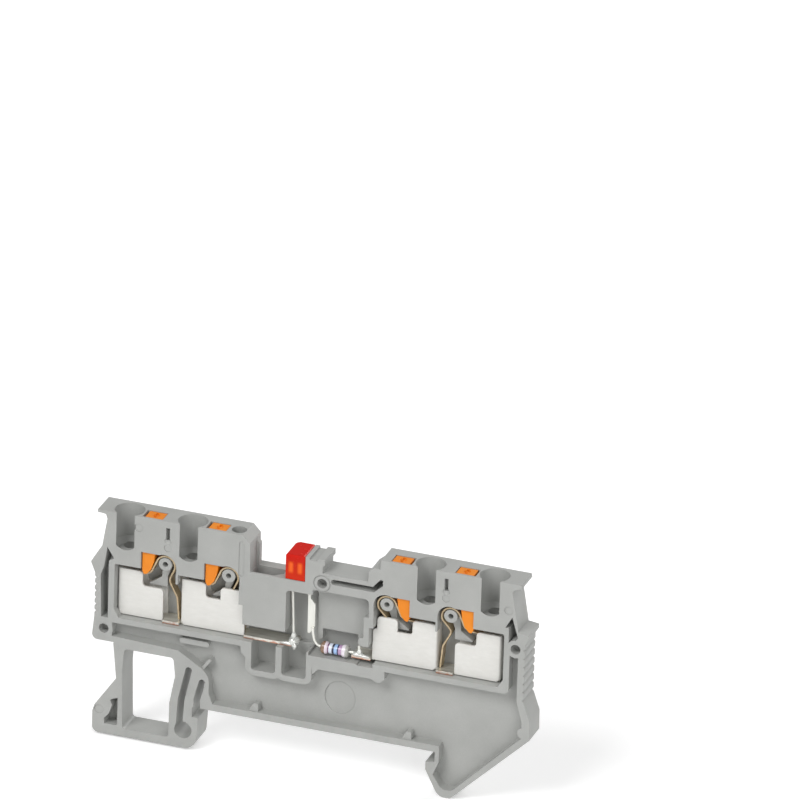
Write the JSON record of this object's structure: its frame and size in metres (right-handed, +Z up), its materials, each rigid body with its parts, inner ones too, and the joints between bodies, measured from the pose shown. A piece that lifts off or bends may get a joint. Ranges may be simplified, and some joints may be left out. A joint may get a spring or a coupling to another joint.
{
  "type": "feed-through terminal block",
  "caption": "Slim rail-mounted feed-through terminal block, open at the front, with spring clamps, orange push buttons, marker groove and a red indicator.",
  "frame": {"origin": "middle of the rail seat, level with the rail's upper face, in the plane of the open front face", "axes": "+X along the block from the sprung foot to the fixed hook, +Y across the block from the open front to the closed back, +Z up, away from the rail"},
  "size_m": [0.0636, 0.0054, 0.0339],
  "materials": {
    "housing": "satin grey moulding",
    "buttons": "orange moulding",
    "cages": "tinned",
    "springs": "bright strip",
    "bars": "tinned copper",
    "lens": "clear red",
    "lamp": "clear tinted",
    "leads": "tinned wire",
    "resistor": "lacquered, with colour bands",
    "solder": "bright"
  },
  "bodies": {
    "block": {"housing": "housing", "clamp_cage_1": "cages", "clamp_spring_1": "springs", "clamp_cage_2": "cages", "clamp_spring_2": "springs", "clamp_cage_3": "cages", "clamp_spring_3": "springs", "clamp_cage_4": "cages", "clamp_spring_4": "springs", "current_bar_left": "bars", "current_bar_right": "bars", "indicator_lens": "lens", "indicator_lamp": "lamp", "lamp_lead_left": "leads", "lamp_lead_right": "leads", "resistor_body": "resistor", "resistor_wire_left": "leads", "resistor_wire_right": "leads", "solder_joint_left": "solder", "solder_joint_right": "solder"},
    "button_1": {"push_button_1": "buttons"},
    "button_2": {"push_button_2": "buttons"},
    "button_3": {"push_button_3": "buttons"},
    "button_4": {"push_button_4": "buttons"}
  },
  "joints": [
    {"name": "button_1_press", "type": "slide", "parent": "block", "child": "button_1", "axis": [0, 0, -1], "range_m": [0, 0.0015], "stiffness_N_per_m": 500, "springref_m": -0.002, "deforming": ["clamp_spring_1"]},
    {"name": "button_2_press", "type": "slide", "parent": "block", "child": "button_2", "axis": [0, 0, -1], "range_m": [0, 0.0015], "stiffness_N_per_m": 500, "springref_m": -0.002, "deforming": ["clamp_spring_2"]},
    {"name": "button_3_press", "type": "slide", "parent": "block", "child": "button_3", "axis": [0, 0, -1], "range_m": [0, 0.0015], "stiffness_N_per_m": 500, "springref_m": -0.002, "deforming": ["clamp_spring_3"]},
    {"name": "button_4_press", "type": "slide", "parent": "block", "child": "button_4", "axis": [0, 0, -1], "range_m": [0, 0.0015], "stiffness_N_per_m": 500, "springref_m": -0.002, "deforming": ["clamp_spring_4"]}
  ]
}
